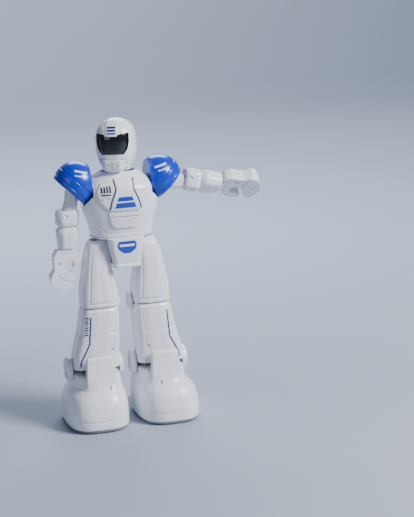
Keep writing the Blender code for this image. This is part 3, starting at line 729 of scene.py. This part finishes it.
UPPER_ARM = (
    (213.4, 41.0, 3.4, 5.0), (212.6, 41.0, 4.6, 5.3), (205, 41.5, 5.3, 5.5), (198, 42.2, 5.6, 5.6),
    (191.8, 44.0, 6.2, 6.2),
)
ELBOW_BLOCK = (
    (191.0, 46.0, 8.2, 7.4), (190.2, 46.1, 9.2, 8.3), (188.5, 46.2, 9.9, 8.9), (183.2, 46.4, 10.0, 9.0),
    (182.9, 46.4, 9.6, 8.6), (182.4, 46.4, 9.6, 8.6), (182.1, 46.4, 10.0, 9.0), (179.6, 46.4, 9.9, 8.9),
    (177.8, 46.4, 9.0, 8.1), (177.0, 46.4, 8.4, 7.6), (176.9, 46.4, 8.3, 7.5),
)
FOREARM = (
    (176.4, 46.4, 7.4, 7.0), (175.6, 46.4, 8.3, 7.7), (174.8, 46.4, 8.9, 8.1), (172.5, 46.6, 10.1, 8.7),
    (171.0, 46.6, 10.0, 8.7), (170.7, 46.6, 9.6, 8.3), (170.2, 46.6, 9.6, 8.3), (169.9, 46.6, 9.9, 8.6),
    (165.0, 46.8, 9.2, 8.2), (160.0, 47.6, 8.1, 7.6), (158.2, 47.9, 7.6, 7.3), (157.5, 48.0, 7.0, 6.8),
)
# Hand outline: wrist, back of the palm, faceted finger block, inside of the open grip, thumb
HAND = (
    (56.6, 157.0), (58.4, 155.4), (60.5, 151.0), (60.6, 140.0), (64.5, 133.2), (63.8, 129.0), (59.4, 124.7),
    (51.2, 122.5), (43.2, 126.8), (40.7, 132.2), (42.6, 134.4), (46.0, 136.8), (50.2, 138.8), (51.6, 143.0),
    (50.2, 147.2), (46.6, 149.0), (43.2, 147.2), (42.2, 143.5), (44.0, 140.2), (41.2, 137.6), (38.2, 141.0),
    (37.8, 149.0), (41.3, 155.0), (43.8, 157.0),
)


def cornered(cx, hw, cy, hd, z):
    """Level ring with cut and rounded corners."""
    cut = 0.56
    corners = [(1, -cut), (1, cut), (cut, 1), (-cut, 1), (-1, cut), (-1, -cut), (-cut, -1), (cut, -1)]
    return [(x, y, z) for x, y in softened([(cx + u * hw, cy + v * hd) for u, v in corners], 1.5, 3)]


def arm_length(levels):
    return ring_solid([cornered(cx, hw, 1.0, hd, z) for z, cx, hw, hd in levels])


def screw_well(made, x, z, y=-12.0, depth=5.0):
    """Round recess for a screw, sunk into the front of a limb, with the screw head's floor left in it."""
    steps = [(y, 1.75), (y + depth, 1.75), (y + depth + 0.01, 1.5), (y + depth + 0.3, 1.4)]
    return carve(made, turned(steps, (x, 0, z), "Y", 32))


def pin_bore(made):
    """Cuts the blind bore of the arm's pin."""
    return carve(made, turned([(-16.4, PIN_HOLE), (18.4, PIN_HOLE)], ARM_PIN, "Y", 32))


def make_pauldron(label, side):
    """Hollow dome, open on a plane that faces out and down, with grooves round its rim."""
    grooves = (5.6, -1.2)
    extra = [place + 0.15 * k for place in grooves for k in range(-7, 8)]
    rings = []
    for along in heights_between(-19.0, 9.0, 0.6, extra):
        sunk = sum(0.55 * math.exp(-((along - place) / 0.45) ** 2) for place in grooves)
        rings.append((along, math.sqrt(DOME_RADIUS ** 2 - along ** 2) - sunk))
    rings += [(9.15, rings[-1][1] - 0.25), (9.2, rings[-1][1] - 0.6)]
    dome = turned(rings, (0, 0, 0), "X", 144)
    tilt = Matrix.Translation(SHOULDER) @ Matrix.Rotation(math.radians(45), 4, "Y")
    bmesh.ops.transform(dome, matrix=tilt, verts=dome.verts)
    dome = carve(dome, box_solid((0, -30, 180), (DOME_INNER_SIDE, 30, 250)))
    start = DOME_INNER_SIDE + 2.4
    inside = []
    for k in range(31):
        x = start + (SHOULDER.x + DOME_HOLLOW - 0.02 - start) * (k / 30) ** 0.8
        inside.append((x, math.sqrt(DOME_HOLLOW ** 2 - (x - SHOULDER.x) ** 2)))
    dome = pin_bore(carve(dome, turned(inside, SHOULDER, "X", 96)))
    finish_piece(label + "_dome", dome, label + "_shoulder", "blue_plastic", (label + "_pauldron",), side,
                 sharp=40)


def make_pin(label, side):
    steps = [(-16.0, 1.1), (-15.8, 1.35), (-15.5, 1.5), (17.5, 1.5), (17.8, 1.35), (18.0, 1.1)]
    pin = turned(steps, ARM_PIN, "Y", 32)
    finish_piece(label + "_arm_pin", pin, label + "_shoulder", "bright_steel", (label + "_shoulder_pin",),
                 side)


def make_arm(label, side):
    arm = label + "_arm"
    upper = carve(arm_length(reversed(UPPER_ARM)), arm_length(reversed(ELBOW_BLOCK)), "UNION")
    bridge = arm_length(((190.0, 44.6, 6.0, 6.0), (192.4, 43.9, 6.0, 6.0)))
    upper = screw_well(pin_bore(carve(upper, bridge, "UNION")), 48.6, 186.4)
    finish_piece(label + "_upper", upper, arm, "white_plastic", (label + "_upper_arm",), side, bevel=0.3)

    lower_arm = label + "_lower_arm"
    fore = screw_well(arm_length(reversed(FOREARM)), 43.6, 162.6)
    fore = carve(fore, slab(rectangle(46.5, 150, 46.8, 169.6), -12, -6.2))
    finish_piece(label + "_fore", fore, lower_arm, "white_plastic", (label + "_forearm",), side, bevel=0.3)

    hand = slab(softened(HAND, 0.9, 3), -6, 8)
    palm = ((70, 160), (70, 137.6), (62, 135.6), (53.6, 138.4), (49, 138.0), (40, 133.4), (30, 133.4),
            (30, 160))
    hand = carve(hand, slab(palm, -9, -4.9))
    hand = carve(hand, slab(palm, 7.2, 11))
    knuckle = ((58.9, 124.0), (53.2, 131.0), (41.2, 128.4))
    for points in (knuckle, ((57.6, 136.4), (53.2, 131.0))):
        hand = carve(hand, slab(stripe(points, 0.8), -8, -5.3))
        hand = carve(hand, slab(stripe(points, 0.8), 7.4, 10))
    cuff = stripe(((36, 154.2), (64, 154.2)), 0.6)
    for low, high in ((-8, -4.4), (6.7, 10)):
        hand = carve(hand, slab(cuff, low, high))
    hand = screw_well(hand, 56.6, 145.2, y=-6.9, depth=3.0)
    finish_piece(label + "_grip", hand, lower_arm, "white_plastic", (label + "_hand",), side, bevel=0.7)


# ---------------------------------------------------------------- legs

THIGH = (
    (105.2, 23.2, 15.3, 15.3), (106.2, 23.2, 15.8, 15.9), (113.0, 23.2, 15.9, 16.2),
    (140.0, 23.1, 12.0, 14.6), (156.0, 21.4, 10.2, 11.8), (158.0, 21.1, 9.8, 11.2),
    (163.2, 20.8, 7.2, 7.0),
)
SHIN = (
    (50.5, 28.8, 20.2, 13.0), (60.0, 28.4, 20.0, 13.4), (81.0, 25.4, 17.8, 15.0), (101.0, 23.4, 16.0, 16.0),
    (104.2, 23.3, 14.6, 14.6), (104.4, 23.3, 14.2, 14.2),
)
CALF = (
    (50.5, 28.8, 20.2, 18.6), (60.0, 28.4, 20.0, 18.6), (81.0, 25.4, 17.8, 18.0), (101.0, 23.4, 16.0, 16.6),
    (104.2, 23.3, 14.6, 14.9), (104.4, 23.3, 14.2, 14.4),
)
FACET_CORNERS = ((1, 0), (1, 0.55), (0.84, 0.86), (0.34, 1), (-0.34, 1), (-0.84, 0.86), (-1, 0.55), (-1, 0))
FACETED = densified(rounded_path(FACET_CORNERS, 0.13, 6), 0.035)


def level_curve(levels, column, z):
    """One column of a level table at an array of heights, on straight lines."""
    return np.interp(z, [level[0] for level in levels], [level[column] for level in levels])


def rib(distance, width, height):
    return height * np.exp(-(distance / width) ** 2)


def thigh_relief(x, z, sign):
    """Raised middle panel between two upright lines, and the rim at the knee."""
    across = level_curve(THIGH, 2, z)
    edge = np.abs(x - level_curve(THIGH, 1, z)) - 0.60 * across
    inside = soft_step(-edge, 0.5) * soft_step(z - 110.6, 0.5) * soft_step(157.0 - z, 0.5)
    upright = (z > 110) & (z < 158)
    lift = 0.38 * inside + np.where(upright, rib(edge - 0.5, 0.4, -0.35), 0)
    lift = lift + rib(z - 109.0, 0.4, -0.45)
    if sign > 0:
        lift = lift + groove(x - level_curve(THIGH, 1, z), z, ((-5, 128), (5, 128)), 0.5, 0.5)
    return lift


def shin_relief(x, z, sign):
    """Band under the knee, seam across the middle and a shield on the lower front."""
    off = x - level_curve(SHIN, 1, z)
    lift = rib(z - 99.6, 0.35, -0.3) + rib(z - 81.0, 0.4, -0.5)
    lift = lift + groove(off, z, ((-11.6, 97.5), (-12.2, 83.4), (-9.8, 83.4)), 0.4, 0.3)
    if sign < 0:
        lift = lift + groove(off, z, ((11.9, 79.0), (-11.5, 79.0), (-13.6, 66.0), (-9.0, 62.0)), 0.4, 0.35)
    else:
        for height in (88, 90.6, 93.2):
            lift = lift + groove(off, z, ((-6, height), (6, height)), 0.5, 0.6)
    return lift


def faceted_surface(levels):
    """surface(x, z) = y of the front of a faceted casing."""
    front = sorted(set(FACETED))

    def surface(x, z):
        cx, hw, depth = smooth_levels(levels, z)[:3]
        share = np.interp((x - cx) / hw, [u for u, _ in front], [v for _, v in front])
        return -(SEAM + depth * share)
    return surface


def make_leg(label, side):
    leg = label + "_leg"
    rows = heights_between(105.2, 163.2, 0.6)
    for sign, part in ((-1, "front"), (1, "back")):
        thigh = half_casing(THIGH, FACETED, sign, rows, thigh_relief, 2.0)
        thigh = carve(thigh, turned([(5, PIN_HOLE), (31.4, PIN_HOLE)], HIP_AXLE, "X", 32))
        name = f"{label}_thigh_{part}"
        finish_piece(name + "_skin", thigh, leg, "white_plastic", (name,), side)
    rows = heights_between(50.5, 104.4, 0.6)
    for sign, part, levels in ((-1, "front", SHIN), (1, "back", CALF)):
        shin = half_casing(levels, FACETED, sign, rows, shin_relief, 2.0)
        if sign < 0:
            shin = screw_well(shin, 16.0, 66.5, y=-15.0, depth=3.0)
        name = f"{label}_shin_{part}"
        finish_piece(name + "_skin", shin, leg, "white_plastic", (name,), side)
    knee = turned([(4.5, 0.02), (4.5, 1.6), (4.2, 1.9), (4.2, 4.6), (4.5, 4.9), (4.5, 5.6), (4.0, 6.1),
                   (4.1, 6.6), (4.9, 7.3), (5.1, 7.4), (6.7, 7.4), (6.8, 7.3), (6.8, 0.02)],
                  KNEE_AXLE, "X", 72)
    finish_piece(label + "_knee_button", knee, leg, "white_plastic", (label + "_knee_disc",), side)

    front = faceted_surface(SHIN)
    line = stripe(((33.9, 97.8), (36.0, 73.4), (43.6, 58.4), (44.6, 53.6)), 1.3)
    printed(label + "_shin_line", [line], front, leg, "navy_print", side)


def shin_bars():
    """A column of plain bars outside the line on the right shin."""
    bars = []
    for k, length in enumerate((2.6, 1.8, 2.6, 1.3, 2.2, 2.6, 1.7, 2.4)):
        x, z = 36.8 + 0.20 * k, 96.2 - 2.1 * k
        bars.append(bar(x - length / 2, x + length / 2, z, z + 1.2))
    printed("right_shin_bars", bars, faceted_surface(SHIN), "right_leg", "ink_print", -1, "black_gloss")


# ---------------------------------------------------------------- feet

FOOT = (
    (3.0, 31.8, 26.4, -39.2, 39.2), (3.6, 31.8, 27.0, -39.8, 39.8), (5.0, 31.8, 27.2, -40.0, 40.0),
    (12.0, 31.8, 27.2, -40.0, 40.0), (20.0, 31.5, 26.8, -38.4, 39.2), (28.0, 31.0, 25.4, -35.0, 37.8),
    (32.5, 29.8, 22.9, -31.4, 36.2), (36.0, 28.8, 20.4, -28.6, 34.5), (40.0, 28.8, 20.2, -26.8, 32.4),
    (44.6, 28.8, 19.8, -25.4, 30.4), (45.6, 28.8, 19.2, -24.8, 29.6), (46.0, 28.8, 18.4, -24.0, 28.8),
)


def oval_ring(cx, hw, front, back, z):
    """Level ring on a squarish oval between a front and a back."""
    power, count = 3.0, 168
    ring = []
    for k in range(count):
        t = 2 * math.pi * k / count
        c, s = math.cos(t), math.sin(t)
        reach = (abs(c) ** power + abs(s) ** power) ** (-1 / power)
        ring.append((cx + c * reach * hw, (front + back) / 2 + s * reach * (back - front) / 2, z))
    return ring


def foot_body():
    """The foot's hull, with its welt line and the lines that run down the toe."""
    heights = heights_between(3, 46, 0.55)
    base = np.array([oval_ring(*smooth_levels(FOOT, z), z) for z in heights])
    wrapped = np.concatenate([base[:, -1:], base, base[:, :1]], axis=1)
    normal = np.cross(np.gradient(wrapped, axis=1), np.gradient(wrapped, axis=0))[:, 1:-1]
    normal /= np.linalg.norm(normal, axis=2, keepdims=True)
    x, y, z = base[:, :, 0], base[:, :, 1], base[:, :, 2]
    lift = rib(z - 10.4, 0.4, -0.45)
    toe = (y < -12) & (z > 11)
    for lines in (((15.0, -18), (10.5, -44)), ((42.8, -18), (51.5, -44))):
        lift = lift + np.where(toe, groove(x, y, lines, 0.45, 0.45), 0)
    crease = groove(x, z, ((20.5, 24), (24.5, 18), (37.5, 18), (41.5, 24)), 0.45, 0.4)
    lift = lift + np.where(y < -12, crease, 0)
    lift = lift + np.where(y > 20, groove(x, z, ((20, 22), (43, 22)), 0.5, 0.5), 0)
    return ring_solid((base + normal * lift[:, :, None]).tolist())


def lug(low, high):
    """Upright ear round the ankle's axle, its top rounded."""
    y, z = ANKLE_AXLE[1:]
    turns = [math.pi * k / 24 for k in range(25)]
    outline = [(y - 6.4, z - 6), (y + 6.4, z - 6)]
    outline += [(y + 6.4 * math.cos(t), z + 6.4 * math.sin(t)) for t in turns]
    return ring_solid([[(x, y, z) for y, z in outline] for x in (low, high)])


def make_foot(label, side):
    foot = label + "_foot"
    shell = foot_body()
    for low, high in ((13.8, 16.6), (40.6, 43.4)):
        shell = carve(shell, lug(low, high), "UNION")
    rings = []
    for z, reach, fore in ((34, 13.2, -25.6), (44, 13.2, -25.2), (52, 12.6, -23.7),
                           (57.4, 12.2, -22.9), (57.7, 11.8, -22.5),
                           (58.3, 11.8, -22.5), (58.6, 12.1, -22.7), (61.2, 11.8, -22.2),
                           (62.6, 11.2, -21.5), (63.2, 10.3, -20.6)):
        corners = softened(rectangle(29 - reach, fore, 29 + reach, -17.2), 1.5)
        rings.append([(x, y, z) for x, y in corners])
    guard = ring_solid(rings)
    shell = carve(shell, guard, "UNION")
    shell = carve(shell, box_solid((16.8, -0.5, 40.4), (40.4, 16.5, 70)))
    shell = carve(shell, box_solid((12, -16, 0), (48.4, 28, 27)))
    shell = carve(shell, turned([(5, 2.35), (52, 2.35)], ANKLE_AXLE, "X", 40))
    shell = screw_well(shell, 22.6, 36.5, y=-32, depth=5.3)
    finish_piece(label + "_foot_skin", shell, foot, "white_plastic", (label + "_foot_shell",), side, sharp=38)

    sole = ring_solid([oval_ring(31.8, hw, -reach, reach, z) for z, hw, reach in (
        (0.9, 25.4, 38.2), (1.2, 25.8, 38.6), (2.4, 26.2, 39.0), (2.65, 26.0, 38.8))])
    sole = carve(sole, box_solid((10, -28, 0), (31, 28, 1.5)), "UNION")
    sole = carve(sole, box_solid((32.6, 8.2, -1), (46.8, 23.8, 4)))
    for k in range(9):
        y = -24.6 + 6 * k
        sole = carve(sole, box_solid((9, y, -1), (32, y + 1.2, 0.45)))
    for x, y in ((38, -30), (38, -12), (26, 33), (38, 33)):
        well = turned([(-1, 2.2), (1.9, 2.2)], (x, y, 0), "Z", 32)
        sole = carve(sole, well)
    finish_piece(label + "_sole_plate", sole, foot, "grey_plastic", (label + "_sole",), side, bevel=0.2)

    pin = turned([(8.6, 1.6), (9.0, 2.0), (49.6, 2.0), (49.6, 10.7), (49.9, 11.0), (52.9, 11.0), (53.3, 10.8),
                  (54.3, 9.8), (54.4, 9.5), (54.4, 8.4), (54.1, 8.1), (53.4, 7.9), (53.2, 7.6), (53.2, 3.6),
                  (53.5, 3.3), (54.0, 3.2), (54.2, 2.9), (54.2, 0.02)], ANKLE_AXLE, "X", 72)
    finish_piece(label + "_ankle_disc", pin, foot, "white_plastic", (label + "_ankle_pin",), side)
    cap = turned([(5.0, 0.02), (5.0, 2.9), (4.6, 3.2), (4.6, 7.6), (4.2, 8.1), (4.0, 8.4), (4.0, 9.5),
                  (4.1, 9.8), (5.0, 10.8), (5.4, 11.0), (7.5, 11.0), (7.8, 10.7), (7.8, 0.02)],
                 ANKLE_AXLE, "X", 72)
    finish_piece(label + "_ankle_cover", cap, foot, "white_plastic", (label + "_ankle_cap",), side)


def make_wheel(label, side):
    """Rubber tyre with tread grooves, on a turned hub."""
    tread = [(38.0, 6.2), (38.0, 8.7), (38.3, 9.1), (38.9, 9.45)]
    for k in range(4):
        x = 39.4 + 1.5 * k
        tread += [(x, 9.5), (x + 0.1, 9.0), (x + 0.55, 9.0), (x + 0.65, 9.5)]
    tread += [(45.1, 9.45), (45.7, 9.1), (46.0, 8.7), (46.0, 6.2)]
    tyre = carve(turned(tread, WHEEL_AXLE, "X", 96), turned([(37, 6.0), (47, 6.0)], WHEEL_AXLE, "X", 72))
    finish_piece(label + "_tyre", tyre, label + "_wheel", "wheel_rubber", (label + "_drive_wheel",), side)
    hub = turned([(38.4, 2.9), (38.4, 3.4), (39.4, 3.7), (39.4, 5.4), (38.4, 5.7), (38.3, 5.98), (45.7, 5.98),
                  (45.6, 5.7), (44.6, 5.4), (44.6, 3.7), (45.6, 3.4), (45.6, 2.9)], WHEEL_AXLE, "X", 72)
    hub = carve(hub, turned([(37, 1.85), (47, 1.85)], WHEEL_AXLE, "X", 40))
    finish_piece(label + "_hub", hub, label + "_wheel", "grey_plastic", side=side, bevel=0.1)


# ---------------------------------------------------------------- inner parts and stage

def dress_inner_parts():
    """Gives the pieces kept from the CAD frame the finish of their material slot."""
    for row in frame["record"]["subparts"]:
        frame["nodes"][row["node"]].data.materials[0] = LOOKS[row["material_slot"]]


def area_light(name, place, target, size, power, colour):
    lamp = bpy.data.lights.new(name, "AREA")
    lamp.shape = "RECTANGLE"
    lamp.size, lamp.size_y = size
    lamp.energy = power
    lamp.color = colour
    item = bpy.data.objects.new(name, lamp)
    item.location = place
    item.rotation_euler = (Vector(target) - Vector(place)).to_track_quat("-Z", "Y").to_euler()
    bpy.context.scene.collection.objects.link(item)


def make_stage():
    """Pale floor that curves up into a backdrop, soft lamps and a soft world light."""
    profile = [(-3.2, 0), (2.2, 0), (2.5, 0.03), (2.75, 0.12), (2.95, 0.3), (3.05, 0.55), (3.1, 2.4)]
    made = bmesh.new()
    rows = [[made.verts.new((x, y, z)) for x in (-3.4, 3.4)] for y, z in profile]
    for (a, b), (c, d) in zip(rows, rows[1:]):
        made.faces.new((a, b, d, c))
    mesh = bpy.data.meshes.new("floor")
    made.to_mesh(mesh)
    made.free()
    mesh.shade_smooth()
    mesh.materials.append(plastic("stage", (0.36, 0.41, 0.52), 0.75, grain=0.0))
    floor = bpy.data.objects.new("floor", mesh)
    bpy.context.scene.collection.objects.link(floor)

    area_light("key", (0.92, -0.86, 1.08), (-0.03, 0, 0.15), (0.55, 0.5), 44, (1.0, 0.99, 0.98))
    area_light("fill", (-1.1, -0.7, 0.55), (-0.03, 0, 0.12), (0.8, 0.8), 2.4, (0.84, 0.88, 1.0))
    area_light("rim", (0.2, 0.8, 0.85), (-0.03, 0, 0.16), (0.6, 0.4), 7, (0.86, 0.92, 1.0))
    area_light("backdrop", (0, 0.9, 1.5), (0, 2.9, 0.3), (1.2, 0.4), 60, (0.95, 0.97, 1.0))
    world = bpy.data.worlds.new("soft")
    world.use_nodes = True
    world.node_tree.nodes["Background"].inputs["Color"].default_value = (0.62, 0.70, 0.90, 1)
    world.node_tree.nodes["Background"].inputs["Strength"].default_value = 0.15
    bpy.context.scene.world = world


def make_camera():
    """Camera a little to the robot's right of its front, a little above it, and leaning."""
    azimuth, elevation, roll = math.radians(-16), math.radians(12), math.radians(-2.4)
    back = Vector((math.sin(azimuth) * math.cos(elevation), -math.cos(azimuth) * math.cos(elevation),
                   math.sin(elevation)))
    lean = Matrix.Rotation(roll, 3, back)
    right = lean @ Vector((math.cos(azimuth), math.sin(azimuth), 0))
    up = back.cross(right)
    target = Vector((MIDPLANE * MM, 0, 0.133)) + right * 0.0735 + up * 0.0105
    lens = bpy.data.cameras.new("camera")
    lens.lens = 109.3
    lens.clip_start, lens.clip_end = 0.05, 20
    camera = bpy.data.objects.new("camera", lens)
    camera.location = target + back * 1.37
    camera.rotation_mode = "QUATERNION"
    camera.rotation_quaternion = Matrix((right, up, back)).transposed().to_quaternion()
    bpy.context.scene.collection.objects.link(camera)
    bpy.context.scene.camera = camera


# ---------------------------------------------------------------- the robot

make_torso()
torso_marks()
make_pelvis()
make_door()
make_switch()
pelvis_badge()
make_head()
head_marks()
dome_bars()
for LABEL, SIDE in (("left", 1), ("right", -1)):
    make_pauldron(LABEL, SIDE)
    make_pin(LABEL, SIDE)
    make_arm(LABEL, SIDE)
    make_leg(LABEL, SIDE)
    make_foot(LABEL, SIDE)
    make_wheel(LABEL, SIDE)
shin_bars()
dress_inner_parts()
make_stage()
make_camera()
